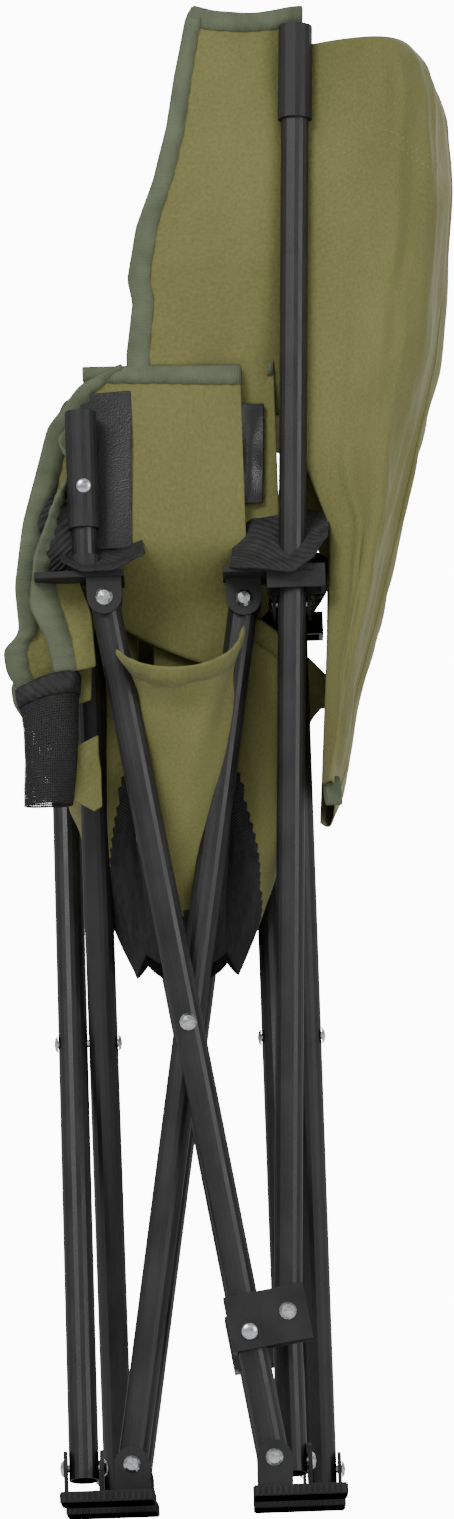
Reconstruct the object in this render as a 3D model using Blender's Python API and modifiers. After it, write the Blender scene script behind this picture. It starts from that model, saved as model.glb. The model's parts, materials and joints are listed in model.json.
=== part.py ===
"""A folding camp chair, shown folded. Metres, +Z up, the sitter faces -X and the sitter's left is -Y.

Four X pairs of steel tubes stand between four plastic feet and four plastic hubs. Each tube turns on a
rivet at its foot, at the middle of its X and at its hub, so the whole frame opens together. The posts of
the back turn on brackets above the rear feet and pass through slotted collars in the rear hubs.
"""

from math import atan2, cos, hypot, pi, radians, sin

import bmesh
import bpy
from mathutils import Euler, Matrix, Vector

# Driving dimensions of the frame
TUBE_SPAN = 0.560  # between a tube's two end rivets
FOLDED_ANGLE = 9.2  # degrees that each tube leans from upright when folded
TUBE_R = 0.0095
TUBE_WALL = 0.0012
TUBE_END = 0.008  # of tube past its end rivet
POST_R = 0.009
POST_LENGTH = 0.838  # from its lower rivet to its top
POST_END = 0.010  # of post below its lower rivet
ARM_POST_R = 0.008
ARM_POST_HEIGHT = 0.104
FOOT_PIVOT_HEIGHT = 0.024
BRACKET_HEIGHT = 0.088  # along the tube, from the rear foot's rivet
BRACKET_REACH = 0.026  # from the tube's axis to the post's rivet
ARM_POST_REACH = 0.012  # ahead of the front hub's rivet
BACK_FOLD = 0.102  # how far the folded back cloth stands behind its posts
BACK_CLOTH_HEIGHT = 0.30
SEAT_STRAP_LENGTH = 0.224
ARM_CLOTH_RISE = 0.022  # from the hubs' rivets up to the arm cloth's lower edge
ARM_CLOTH_STEP = 0.060  # from the front strip's lower edge up to the rear strip's
ARM_CLOTH_HEIGHT = 0.036
ARM_CLOTH_INSET = 0.010  # from the posts' line in to the arm cloth

# Clearances and walls
FIT = 0.0003  # between pieces that touch
SIDE_PLAY = 0.0008  # between a tube and the ears that hold it
EAR = 0.0022  # thickness of an ear
EAR_R = TUBE_R + 0.0017  # radius of an ear round its rivet
TURN_ROOM = 0.0006  # past the corner of a turning tube's end
CORNER = 2 * TUBE_R + 0.002  # from a rivet to the middle of the neighbouring X
TREAD = 0.007  # thickness of a foot's tread
TREAD_INSIDE = EAR_R + 0.0021  # from a rivet to the foot's inner edges
TREAD_SLOT_FLOOR = 0.0012  # from the tread up to the slots for the tubes
TREAD_HOLE_R = 0.0085
TREAD_HOLE_INSET = 0.013  # from the foot's outer edges
TREAD_HOLE_ROOF = 0.0018
PLATE = 0.004  # thickness of a hub's plate
PLATE_RISE = hypot(TUBE_R, TUBE_END) + TURN_ROOM  # from a hub's rivets to the underside of its plate
PLATE_INSIDE = EAR_R + 0.0018  # from a rivet to the hub's inner edges
COLLAR_GAP = 0.00138  # from a tube's slot to the collar
COLLAR_WALL = 0.0028
COLLAR_DEPTH = 0.015
COLLAR_TRAVEL = 0.0070  # that the post slides to and fro in its slot as the chair opens
COLLAR_SHIFT = 0.0028  # from the folded post's place to the slot's middle
COLLAR_SIDE = 0.0006  # between the post and the slot's long sides
SOCKET_WALL = 0.0026
SOCKET_DEPTH = 0.012
CAP_WALL = 0.0018
POST_CAP_LENGTH = 0.060
ARM_CAP_LENGTH = 0.074
CAP_TOP = 0.003
RIVET_R = 0.0025
RIVET_HEAD_R = 0.0056
RIVET_DOME = 0.0024
BRACKET_WALL = 0.0027
BRACKET_BELOW = 0.019
BRACKET_ABOVE = 0.016
BRACKET_BACK = 0.0125  # from the post's rivet to the bracket's back face
BRACKET_MOUTH = 0.0145  # from the post's rivet ahead to the bottom of its slot
STRAP_INSET = 0.019  # from a hub's rivets in to the seat strap's hinge
STRAP_RISE = 0.013
STRAP_WIDTH = 0.014
STRAP_THICKNESS = 0.0016
STRAP_DROP = 0.070  # from a strap's hinge down to its upper end
SEAM_WIDTH = 0.006
SEAM_GAP = 0.004  # between the rear right strap and the right side's seam
CLOTH = 0.002
BACK_STRIP_INSIDE = 0.004  # from the chair's middle plane
BACK_STRIP_WIDTH = 0.016
BACK_CLOTH_RISE = 0.035

ANGLE = radians(FOLDED_ANGLE)
HALF = TUBE_SPAN * sin(ANGLE) / 2  # half the distance between neighbouring feet
HUB_PIVOT_HEIGHT = FOOT_PIVOT_HEIGHT + TUBE_SPAN * cos(ANGLE)
LAYER = TUBE_R + FIT  # half the distance between the two crossing tubes of an X
OUTER = CORNER + LAYER
INNER = CORNER - LAYER
EAR_SPAN = TUBE_R + SIDE_PLAY + EAR  # from a tube's axis to the outside of its ears
SLOT_ROOM = EAR_SPAN - EAR
SLOT_REACH = hypot(TUBE_R, TUBE_END) + 2 * TURN_ROOM
COLLAR_FRONT = SLOT_REACH + COLLAR_GAP + COLLAR_WALL + COLLAR_TRAVEL + POST_R
COLLAR_REACH = COLLAR_FRONT - COLLAR_SHIFT  # from the rear hub's rivet back to the folded post
TREAD_EDGE = OUTER + EAR_SPAN + 0.0012  # from a rivet to the outer edges of a foot or a hub
FRONT, REAR, LEFT, RIGHT = -1, 1, -1, 1
SIDE_NAMES = {LEFT: "left", RIGHT: "right"}
END_NAMES = {FRONT: "front", REAR: "rear"}

PAST = 0.01  # how far a cutter passes the surface that it opens

POCKET_GAP = 0.004  # from the front hub's outer edge to the pocket's axis
POCKET_X = -HALF - TREAD_EDGE - POCKET_GAP
POCKET_R = 0.020
POCKET_TAPER = 0.8
POCKET_ASIDE = 0.006  # from the front left hub's rivets out to the pocket's axis
POCKET_TOP = 0.050  # below the hub's rivets
POCKET_DEPTH = 0.080
POST_LEAN_ROOM = 0.014  # that the leaning post gains between its hub and the back cloth
BACK_X = HALF + COLLAR_REACH + POST_LEAN_ROOM + BACK_FOLD
ORIGIN_X = -(BACK_X + CLOTH + POCKET_X - POCKET_R) / 2  # puts the folded chair's middle at X = 0

for old in list(bpy.data.objects):
    bpy.data.objects.remove(old)

parts = bpy.data.collections.new("folding_camp_chair")
cutters = bpy.data.collections.new("cutters")
bpy.context.scene.collection.children.link(parts)
bpy.context.scene.collection.children.link(cutters)


def material(name, colour, roughness, metallic=0.0):
    made = bpy.data.materials.new(name)
    made.use_nodes = True
    shader = made.node_tree.nodes["Principled BSDF"]
    shader.inputs["Base Color"].default_value = (*colour, 1)
    shader.inputs["Roughness"].default_value = roughness
    shader.inputs["Metallic"].default_value = metallic
    return made


def frame_at(name, place, turn=(0, 0, 0), parent=None):
    """An empty on a joint's axis, which carries the pieces that move together."""
    made = bpy.data.objects.new(name, None)
    made.empty_display_size = 0.02
    made.location = place
    made.rotation_euler = turn
    made.parent = parent
    parts.objects.link(made)
    return made


def solid(name, fill, parent, finish=None):
    """An object whose mesh is made by fill; with no finish it is a cutter."""
    mesh = bpy.data.meshes.new(name)
    shape = bmesh.new()
    fill(shape)
    bmesh.ops.recalc_face_normals(shape, faces=shape.faces)
    shape.to_mesh(mesh)
    shape.free()
    made = bpy.data.objects.new(name, mesh)
    made.parent = parent
    if finish:
        mesh.materials.append(finish_materials[finish].copy())
        mesh.materials[0].name = name
        parts.objects.link(made)
    else:
        cutters.objects.link(made)
        made.hide_render = True
        made.display_type = "WIRE"
    return made


def block(low, high):
    """Fills a box from its two corners."""
    low, high = Vector(map(min, low, high)), Vector(map(max, low, high))
    place = Matrix.Translation((low + high) / 2) @ Matrix.Diagonal((*(high - low), 1))
    return lambda shape: bmesh.ops.create_cube(shape, size=1, matrix=place)


def rod(start, end, radius, sides=20, end_radius=None, caps=True):
    """Fills a cylinder, or a cone, between two points."""
    start, end = Vector(start), Vector(end)
    turn = (end - start).to_track_quat("Z", "Y").to_matrix().to_4x4()
    place = Matrix.Translation((start + end) / 2) @ turn
    return lambda shape: bmesh.ops.create_cone(
        shape,
        cap_ends=caps,
        segments=sides,
        radius1=radius,
        radius2=radius if end_radius is None else end_radius,
        depth=(end - start).length,
        matrix=place,
    )


def combine(piece, operation, fill, step):
    """Joins a filled shape to a piece, or cuts it away."""
    tool = solid(f"{piece.name}_{step}", fill, piece.parent)
    tool.matrix_basis = piece.matrix_basis
    change = piece.modifiers.new(step, "BOOLEAN")
    change.operation = operation
    change.solver = "EXACT"
    change.object = tool


def join(piece, step, fill):
    combine(piece, "UNION", fill, step)


def cut(piece, step, fill):
    combine(piece, "DIFFERENCE", fill, step)


def smooth(piece):
    piece.data.shade_smooth()
    piece.data.set_sharp_from_angle(angle=radians(35))


finish_materials = {
    "steel": material("black_powder_coat", (0.018, 0.018, 0.020), 0.42, 0.4),
    "plastic": material("black_plastic", (0.022, 0.022, 0.024), 0.55),
    "zinc": material("zinc_rivet", (0.62, 0.64, 0.68), 0.25, 1.0),
    "green": material("green_oxford_cloth", (0.155, 0.175, 0.045), 0.85),
    "mesh": material("black_mesh_cloth", (0.02, 0.02, 0.02), 0.9),
}


def hollow_tube(name, parent, low, high, radius, finish="steel"):
    """A steel tube along its own Z, open at both ends."""
    piece = solid(name, rod((0, 0, low), (0, 0, high), radius, caps=False), parent, finish)
    wall = piece.modifiers.new("wall", "SOLIDIFY")
    wall.thickness = TUBE_WALL
    wall.offset = -1
    smooth(piece)
    return piece


def cross_hole(piece, step, place, along, reach):
    """Drills a rivet's hole through a piece, along X or Y."""
    half = Vector(along) * reach
    place = Vector(place)
    cut(piece, step, rod(place - half, place + half, RIVET_R + FIT, sides=12))


def rivet(name, parent, place, along, grip):
    """A turned rivet with a dome at each end of its grip, the length that it holds together."""
    half = grip / 2 + FIT
    dome = [
        (RIVET_HEAD_R * cos(turn), half + RIVET_DOME * sin(turn))
        for turn in (pi / 2, pi / 4, 0)
    ]
    dome[0] = (0, half + RIVET_DOME)
    outline = dome + [(RIVET_R, half), (RIVET_R, -half)] + [(r, -z) for r, z in reversed(dome)]

    def fill(shape):
        points = [shape.verts.new((r, 0, z)) for r, z in outline]
        for first, second in zip(points, points[1:]):
            shape.edges.new((first, second))

    piece = solid(name, fill, parent, "zinc")
    piece.location = place
    piece.rotation_euler = Vector(along).to_track_quat("Z", "Y").to_euler()
    turned = piece.modifiers.new("turned", "SCREW")
    turned.steps = turned.render_steps = 12
    turned.use_merge_vertices = True
    turned.merge_threshold = 0.00001
    return piece


chair = frame_at("chair", (ORIGIN_X, 0, 0))


def at_height(height):
    return Vector((0, 0, height))


def side_layer(end, side, at_foot):
    """How far out the side X's tube sits at this corner; the front or rear X's tube has the other layer.

    The layers go round the chair in turn, so no corner holds two inner tubes.
    """
    inner = (end * side > 0) == at_foot
    return INNER if inner else OUTER


def ears(piece, step, centre, turned, root_height):
    """Joins on a lug with a round end and drills its rivet hole; a slot then parts it into two ears.

    turned is True where the rivet lies along X. root_height is where the lug leaves its tread or plate.
    """
    across = Vector((1, 0, 0)) if turned else Vector((0, 1, 0))
    aside = Vector((0, 1, 0)) if turned else Vector((1, 0, 0))
    middle = across * centre
    root = middle + at_height(root_height)
    span = across * EAR_SPAN
    width = aside * EAR_R
    join(piece, f"{step}_lug", block(root - span - width, middle + span + width))
    join(piece, f"{step}_round", rod(middle - span, middle + span, EAR_R, sides=20))
    drill = span * 1.5
    cut(piece, f"{step}_hole", rod(middle - drill, middle + drill, RIVET_R + FIT, sides=12))


def slots(piece, side_middle, end_middle, low, high):
    """Cuts the two slots for the tubes, which part each lug into two ears."""
    side_low = (-SLOT_REACH, side_middle - SLOT_ROOM, low)
    side_high = (SLOT_REACH, side_middle + SLOT_ROOM, high)
    cut(piece, "side_slot", block(side_low, side_high))
    end_low = (end_middle - SLOT_ROOM, -SLOT_REACH, low)
    end_high = (end_middle + SLOT_ROOM, SLOT_REACH, high)
    cut(piece, "end_slot", block(end_low, end_high))


def make_foot(end, side):
    """A foot: a square tread with a pair of ears for each of its two tubes."""
    name = f"{END_NAMES[end]}_{SIDE_NAMES[side]}_foot"
    place = frame_at(f"{name}_pivot", (end * HALF, side * HALF, FOOT_PIVOT_HEIGHT), parent=chair)
    bottom = -FOOT_PIVOT_HEIGHT
    tread = block(
        (-end * TREAD_INSIDE, -side * TREAD_INSIDE, bottom),
        (end * TREAD_EDGE, side * TREAD_EDGE, bottom + TREAD),
    )
    foot = solid(name, tread, place, "plastic")
    layer = side_layer(end, side, True)
    other = OUTER + INNER - layer
    ears(foot, "side", side * layer, False, bottom + TREAD / 2)
    ears(foot, "end", end * other, True, bottom + TREAD / 2)
    slots(foot, side * layer, end * other, bottom + TREAD + TREAD_SLOT_FLOOR, EAR_R + PAST)
    recess = TREAD_EDGE - TREAD_HOLE_INSET
    hole_low = Vector((end * recess, side * recess, bottom - PAST))
    hole_high = Vector((end * recess, side * recess, bottom + TREAD - TREAD_HOLE_ROOF))
    cut(foot, "tread_hole", rod(hole_low, hole_high, TREAD_HOLE_R, sides=18))
    return place


def make_hub(end, side):
    """A hub: a plate with a pair of ears below it for each tube, and a socket or a collar for its post."""
    name = f"{END_NAMES[end]}_{SIDE_NAMES[side]}_hub"
    place = frame_at(f"{name}_pivot", (end * HALF, side * HALF, HUB_PIVOT_HEIGHT), parent=chair)
    plate = block(
        (-end * PLATE_INSIDE, -side * PLATE_INSIDE, PLATE_RISE),
        (end * TREAD_EDGE, side * TREAD_EDGE, PLATE_RISE + PLATE),
    )
    hub = solid(name, plate, place, "plastic")
    layer = side_layer(end, side, False)
    other = OUTER + INNER - layer
    ears(hub, "side", side * layer, False, PLATE_RISE + PLATE / 2)
    ears(hub, "end", end * other, True, PLATE_RISE + PLATE / 2)
    if end == REAR:
        middle = COLLAR_REACH + COLLAR_SHIFT
        half_slot = POST_R + COLLAR_TRAVEL
        half_width = POST_R + COLLAR_SIDE
        high = PLATE_RISE + PLATE
        low = high - COLLAR_DEPTH
        centre = Vector((middle, side * OUTER, 0))
        wall = Vector((half_slot + COLLAR_WALL, half_width + COLLAR_WALL, 0))
        opening = Vector((half_slot, half_width, 0))
        join(hub, "collar", block(centre - wall + at_height(low), centre + wall + at_height(high)))
        slot_low = centre - opening + at_height(low - PAST)
        cut(hub, "collar_slot", block(slot_low, centre + opening + at_height(high + PAST)))
    else:
        socket = Vector((-ARM_POST_REACH, side * OUTER, PLATE_RISE + PLATE))
        top = socket + at_height(SOCKET_DEPTH)
        join(hub, "socket", rod(socket - at_height(PLATE / 2), top, ARM_POST_R + FIT + SOCKET_WALL))
        cut(hub, "socket_bore", rod(socket, top + at_height(PAST), ARM_POST_R + FIT))
    slots(hub, side * layer, end * other, -EAR_R - PAST, PLATE_RISE - FIT / 2)
    return place


corners = [(end, side) for end in (FRONT, REAR) for side in (LEFT, RIGHT)]
feet = {corner: make_foot(*corner) for corner in corners}
hubs = {corner: make_hub(*corner) for corner in corners}


def make_tube(name, place, turn, along):
    """One leg of an X, with its three rivet holes, on an empty at its foot's rivet."""
    pivot = frame_at(f"{name}_pivot", place, turn, chair)
    tube = hollow_tube(name, pivot, -TUBE_END, TUBE_SPAN + TUBE_END, TUBE_R)
    for step, height in (("foot_hole", 0), ("middle_hole", TUBE_SPAN / 2), ("hub_hole", TUBE_SPAN)):
        cross_hole(tube, step, (0, 0, height), along, TUBE_R * 1.5)
    return pivot


side_tubes = {}
for side in (LEFT, RIGHT):
    for end in (FRONT, REAR):
        lean = ANGLE * -end
        layer = side_layer(end, side, True)
        side_tubes[end, side] = make_tube(
            f"{SIDE_NAMES[side]}_tube_{END_NAMES[end]}_foot",
            (end * HALF, side * (HALF + layer), FOOT_PIVOT_HEIGHT),
            (0, lean, 0),
            (0, 1, 0),
        )
end_tubes = {}
for end in (FRONT, REAR):
    for side in (LEFT, RIGHT):
        lean = ANGLE * side
        layer = OUTER + INNER - side_layer(end, side, True)
        end_tubes[end, side] = make_tube(
            f"{END_NAMES[end]}_tube_{SIDE_NAMES[side]}_foot",
            (end * (HALF + layer), side * HALF, FOOT_PIVOT_HEIGHT),
            (lean, 0, 0),
            (1, 0, 0),
        )

# Rivets: one through each crossing, and one through the ears at each end of each tube
middle_height = (FOOT_PIVOT_HEIGHT + HUB_PIVOT_HEIGHT) / 2
for side in (LEFT, RIGHT):
    place = (0, side * (HALF + CORNER), middle_height)
    rivet(f"{SIDE_NAMES[side]}_cross_rivet", chair, place, (0, 1, 0), 4 * TUBE_R + 2 * FIT)
for end in (FRONT, REAR):
    place = (end * (HALF + CORNER), 0, middle_height)
    rivet(f"{END_NAMES[end]}_cross_rivet", chair, place, (1, 0, 0), 4 * TUBE_R + 2 * FIT)
for group, level, at_foot in ((feet, "foot", True), (hubs, "hub", False)):
    for (end, side), pivot in group.items():
        corner = f"{END_NAMES[end]}_{SIDE_NAMES[side]}_{level}"
        layer = side_layer(end, side, at_foot)
        other = OUTER + INNER - layer
        rivet(f"{corner}_side_rivet", pivot, (0, side * layer, 0), (0, 1, 0), 2 * EAR_SPAN)
        rivet(f"{corner}_end_rivet", pivot, (end * other, 0, 0), (1, 0, 0), 2 * EAR_SPAN)


def post_lean():
    """How far a folded post leans back: its axis runs from its rivet to the rear hub's collar."""
    ahead = BRACKET_HEIGHT * sin(ANGLE) - BRACKET_REACH * cos(ANGLE)
    up = BRACKET_HEIGHT * cos(ANGLE) + BRACKET_REACH * sin(ANGLE)
    return atan2(COLLAR_REACH + ahead, TUBE_SPAN * cos(ANGLE) - up)


def make_bracket(side):
    """A bracket riveted to a rear foot's tube: a channel round the tube that also holds the post's end."""
    tube_layer = side_layer(REAR, side, True)
    step_out = side * (OUTER - tube_layer)
    half = max(TUBE_R, POST_R) + SIDE_PLAY + EAR
    room = TUBE_R + FIT
    low, high = BRACKET_HEIGHT - BRACKET_BELOW, BRACKET_HEIGHT + BRACKET_ABOVE
    back = BRACKET_REACH + BRACKET_BACK
    name = f"{SIDE_NAMES[side]}_post_bracket"
    outside = block(
        (-room - BRACKET_WALL, min(-half, step_out - half), low),
        (back, max(half, step_out + half), high),
    )
    bracket = solid(name, outside, side_tubes[REAR, side], "plastic")
    below, above = low - PAST, high + PAST
    cut(bracket, "tube_channel", block((-room, -room, below), (room, room, above)))
    mouth = BRACKET_REACH - BRACKET_MOUTH
    post_room = POST_R + SIDE_PLAY
    if step_out:
        slot_low = (mouth, step_out - post_room, below)
        cut(bracket, "post_slot", block(slot_low, (back + PAST, step_out + post_room, above)))
        inner = -side * room
        cheek = step_out - side * half
        cut(bracket, "relief", block((0, inner, below), (back + PAST, cheek, above)))
    else:
        cut(bracket, "post_slot", block((0, -post_room, below), (back + PAST, post_room, above)))
    reach = Vector((0, abs(step_out) + half + PAST, 0))
    at_post = Vector((BRACKET_REACH, 0, BRACKET_HEIGHT))
    cut(bracket, "post_hole", rod(at_post - reach, at_post + reach, RIVET_R + FIT, sides=12))
    rivet(
        f"{SIDE_NAMES[side]}_post_rivet",
        side_tubes[REAR, side],
        (BRACKET_REACH, step_out, BRACKET_HEIGHT),
        (0, 1, 0),
        2 * half,
    )


def make_post(side):
    """A back post on its rivet, with its plastic cap."""
    tube = side_tubes[REAR, side]
    tube_layer = side_layer(REAR, side, True)
    local = Vector((BRACKET_REACH, side * (OUTER - tube_layer), BRACKET_HEIGHT))
    place = tube.location + Euler(tube.rotation_euler).to_matrix() @ local
    name = f"{SIDE_NAMES[side]}_back_post"
    pivot = frame_at(f"{name}_pivot", place, (0, post_lean(), 0), chair)
    post = hollow_tube(name, pivot, -POST_END, POST_LENGTH, POST_R)
    cross_hole(post, "rivet_hole", (0, 0, 0), (0, 1, 0), POST_R * 1.5)
    top = POST_LENGTH + FIT
    cap = solid(
        f"{name}_cap",
        rod((0, 0, POST_LENGTH - POST_CAP_LENGTH), (0, 0, top + CAP_TOP), POST_R + FIT + CAP_WALL),
        pivot,
        "plastic",
    )
    cut(cap, "bore", rod((0, 0, POST_LENGTH - POST_CAP_LENGTH - PAST), (0, 0, top), POST_R + FIT))
    smooth(cap)
    return pivot


def make_arm_post(side):
    """A short arm post standing in its front hub's socket, with its long cap."""
    place = (-ARM_POST_REACH, side * OUTER, PLATE_RISE + PLATE + FIT)
    name = f"{SIDE_NAMES[side]}_arm_post"
    pivot = frame_at(f"{name}_base", place, parent=hubs[FRONT, side])
    hollow_tube(name, pivot, 0, ARM_POST_HEIGHT, ARM_POST_R)
    top = ARM_POST_HEIGHT + FIT
    cap = solid(
        f"{name}_cap",
        rod((0, 0, ARM_POST_HEIGHT - ARM_CAP_LENGTH), (0, 0, top + CAP_TOP), ARM_POST_R + FIT + CAP_WALL),
        pivot,
        "plastic",
    )
    cut(cap, "bore", rod((0, 0, ARM_POST_HEIGHT - ARM_CAP_LENGTH - PAST), (0, 0, top), ARM_POST_R + FIT))
    smooth(cap)


posts = {}
for side in (LEFT, RIGHT):
    make_bracket(side)
    posts[side] = make_post(side)
    make_arm_post(side)


def make_seat_strap(end, side):
    """The seat's diagonal webbing from one hub, which hangs inside the folded frame."""
    inset = HALF - STRAP_INSET
    place = (end * inset, side * inset, HUB_PIVOT_HEIGHT + STRAP_RISE)
    hinge = frame_at(
        f"{END_NAMES[end]}_{SIDE_NAMES[side]}_seat_strap_hinge",
        place,
        (0, 0, atan2(side, end)),
        chair,
    )
    half_width = STRAP_WIDTH / 2
    solid(
        f"{END_NAMES[end]}_{SIDE_NAMES[side]}_seat_strap",
        block(
            (-STRAP_THICKNESS / 2, -half_width, -SEAT_STRAP_LENGTH),
            (STRAP_THICKNESS / 2, half_width, -STRAP_DROP),
        ),
        hinge,
        "green",
    )
    return hinge


straps = {corner: make_seat_strap(*corner) for corner in corners}

# The right side's cloth is sewn to the rear right strap along a narrow seam
seam_inside = STRAP_WIDTH / 2 + SEAM_GAP
solid(
    "right_seat_seam",
    block(
        (-STRAP_THICKNESS / 2, seam_inside, -SEAT_STRAP_LENGTH),
        (STRAP_THICKNESS / 2, seam_inside + SEAM_WIDTH, -STRAP_DROP),
    ),
    straps[REAR, RIGHT],
    "green",
)


def make_arm_panels(side):
    """The two halves of an arm's cloth meet half way between its posts, one strip above the other."""
    place = side * (HALF + OUTER - ARM_CLOTH_INSET)
    middle = (COLLAR_REACH - ARM_POST_REACH) / 2 + CLOTH
    for half, low in (("front", ARM_CLOTH_RISE), ("rear", ARM_CLOTH_RISE + ARM_CLOTH_STEP)):
        bottom = HUB_PIVOT_HEIGHT + low
        solid(
            f"{SIDE_NAMES[side]}_arm_cloth_{half}",
            block(
                (middle - 2 * CLOTH, place - CLOTH / 2, bottom),
                (middle + 2 * CLOTH, place + CLOTH / 2, bottom + ARM_CLOTH_HEIGHT),
            ),
            chair,
            "green",
        )


def make_back_panel(side):
    """One half of the back cloth's middle, which stands out behind the posts when folded."""
    inside = side * BACK_STRIP_INSIDE
    outside = inside + side * BACK_STRIP_WIDTH
    low = HUB_PIVOT_HEIGHT + BACK_CLOTH_RISE
    solid(
        f"{SIDE_NAMES[side]}_back_cloth",
        block((BACK_X - CLOTH, inside, low), (BACK_X, outside, low + BACK_CLOTH_HEIGHT)),
        chair,
        "green",
    )


for side in (LEFT, RIGHT):
    make_arm_panels(side)
    make_back_panel(side)

# The drink pocket is a mesh cup that hangs ahead of the left front hub
pocket_middle = Vector((POCKET_X + HALF, -POCKET_ASIDE, 0))
pocket_low = pocket_middle - at_height(POCKET_TOP + POCKET_DEPTH)
pocket_high = pocket_middle - at_height(POCKET_TOP)
solid(
    "drink_pocket",
    rod(pocket_low, pocket_high, POCKET_R * POCKET_TAPER, end_radius=POCKET_R),
    hubs[FRONT, LEFT],
    "mesh",
)
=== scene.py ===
"""The looks of a folding camp chair: steel legs, plastic fittings, and olive cloth gathered in the frame."""
import json
import math

import bpy
import numpy as np
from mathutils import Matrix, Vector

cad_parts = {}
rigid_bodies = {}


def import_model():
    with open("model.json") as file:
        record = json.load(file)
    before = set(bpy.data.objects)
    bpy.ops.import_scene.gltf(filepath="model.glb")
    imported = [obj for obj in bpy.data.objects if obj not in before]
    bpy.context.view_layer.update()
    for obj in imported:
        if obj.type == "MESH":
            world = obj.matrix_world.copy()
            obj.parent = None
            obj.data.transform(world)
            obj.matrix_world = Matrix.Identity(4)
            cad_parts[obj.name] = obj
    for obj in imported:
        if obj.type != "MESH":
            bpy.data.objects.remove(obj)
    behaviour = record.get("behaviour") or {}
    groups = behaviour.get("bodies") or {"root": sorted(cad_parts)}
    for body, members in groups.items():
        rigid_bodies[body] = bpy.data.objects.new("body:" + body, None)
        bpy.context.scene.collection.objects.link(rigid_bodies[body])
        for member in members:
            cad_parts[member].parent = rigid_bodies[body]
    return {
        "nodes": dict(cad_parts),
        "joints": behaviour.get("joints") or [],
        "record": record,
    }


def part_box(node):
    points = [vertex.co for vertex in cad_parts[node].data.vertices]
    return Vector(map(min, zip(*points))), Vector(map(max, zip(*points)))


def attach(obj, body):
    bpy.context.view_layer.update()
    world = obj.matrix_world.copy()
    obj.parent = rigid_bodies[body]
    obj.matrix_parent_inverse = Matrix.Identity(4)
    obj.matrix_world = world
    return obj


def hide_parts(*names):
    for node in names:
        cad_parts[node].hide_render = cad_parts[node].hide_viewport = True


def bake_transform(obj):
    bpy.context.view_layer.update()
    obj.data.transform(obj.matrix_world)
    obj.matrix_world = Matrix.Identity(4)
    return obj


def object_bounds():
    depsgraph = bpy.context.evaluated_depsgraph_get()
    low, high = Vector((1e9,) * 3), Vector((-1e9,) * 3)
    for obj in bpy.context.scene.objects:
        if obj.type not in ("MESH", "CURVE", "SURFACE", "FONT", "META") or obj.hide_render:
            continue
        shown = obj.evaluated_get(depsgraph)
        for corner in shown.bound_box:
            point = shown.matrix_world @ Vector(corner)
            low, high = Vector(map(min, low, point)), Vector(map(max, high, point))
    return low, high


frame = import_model()
cad_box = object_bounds()

# --- The room -------------------------------------------------------------------------------------------
# A pale floor that shows from above only, because the camera stands lower than the feet, and
# large soft lights above, ahead and behind.
CHAIR_TOP = float(cad_box[1][2])
VIEW_HEIGHT = 0.484
VIEW_RISE = math.radians(-10.5)
VIEW_ROLL = math.radians(-2.0)
VIEW_DISTANCE = 4.0
VIEW_MIDDLE = -0.010
SEEN_HEIGHT = 1.0075
FILM_HEIGHT = 24
FLOOR_SIZE = 14
WHITE = (1, 1, 1, 1)
BACKDROP_GLOW = 12.0
ROOM_GLOW = 0.42


def make_camera():
    """A camera on the chair's left, lower than its feet and tipped up at its middle.

    The lens is the film's height times the distance, over the height seen, which the tip shortens.
    """
    camera = bpy.data.objects.new("camera", bpy.data.cameras.new("camera"))
    bpy.context.scene.collection.objects.link(camera)
    away = VIEW_DISTANCE * np.array([0, -math.cos(VIEW_RISE), math.sin(VIEW_RISE)])
    camera.location = (VIEW_MIDDLE, away[1], VIEW_HEIGHT + away[2])
    camera.rotation_mode = "ZXY"
    camera.rotation_euler = (math.pi / 2 - VIEW_RISE, 0, VIEW_ROLL)
    camera.data.sensor_fit = "VERTICAL"
    camera.data.sensor_height = FILM_HEIGHT
    camera.data.lens = FILM_HEIGHT * VIEW_DISTANCE / (SEEN_HEIGHT * math.cos(VIEW_RISE))
    bpy.context.scene.camera = camera


def make_light(name, place, size, watts):
    """A square area light aimed at the chair's middle."""
    light = bpy.data.lights.new(name, "AREA")
    light.size = size
    light.energy = watts
    lamp = bpy.data.objects.new(name, light)
    bpy.context.scene.collection.objects.link(lamp)
    lamp.location = place
    aim = np.array([0, 0, VIEW_HEIGHT]) - np.array(place)
    flat = math.hypot(aim[0], aim[1])
    lamp.rotation_euler = (math.atan2(flat, -aim[2]), 0, math.atan2(aim[1], aim[0]) - math.pi / 2)


def new_material(name, colour, roughness, metallic=0.0):
    """A Principled material and its nodes and links, ready for more."""
    look = bpy.data.materials.new(name)
    look.use_nodes = True
    shader = look.node_tree.nodes["Principled BSDF"]
    shader.inputs["Base Color"].default_value = (*colour, 1)
    shader.inputs["Roughness"].default_value = roughness
    shader.inputs["Metallic"].default_value = metallic
    return look, look.node_tree.nodes, look.node_tree.links, shader


def see_through(nodes, links, shader, factor):
    """Lets light and sight through a surface by a factor from 0 to 1."""
    clear = nodes.new("ShaderNodeBsdfTransparent")
    choose = nodes.new("ShaderNodeMixShader")
    links.new(factor, choose.inputs["Fac"])
    links.new(shader.outputs["BSDF"], choose.inputs[1])
    links.new(clear.outputs["BSDF"], choose.inputs[2])
    links.new(choose.outputs["Shader"], nodes["Material Output"].inputs["Surface"])


def make_floor():
    """A wide pale plane whose underside lets light and sight through."""
    bpy.ops.mesh.primitive_plane_add(size=FLOOR_SIZE)
    floor = bpy.context.object
    floor.name = "floor"
    look, nodes, links, shader = new_material("floor", (0.82, 0.82, 0.81), 0.7)
    side = nodes.new("ShaderNodeNewGeometry")
    see_through(nodes, links, shader, side.outputs["Backfacing"])
    floor.data.materials.append(look)


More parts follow.
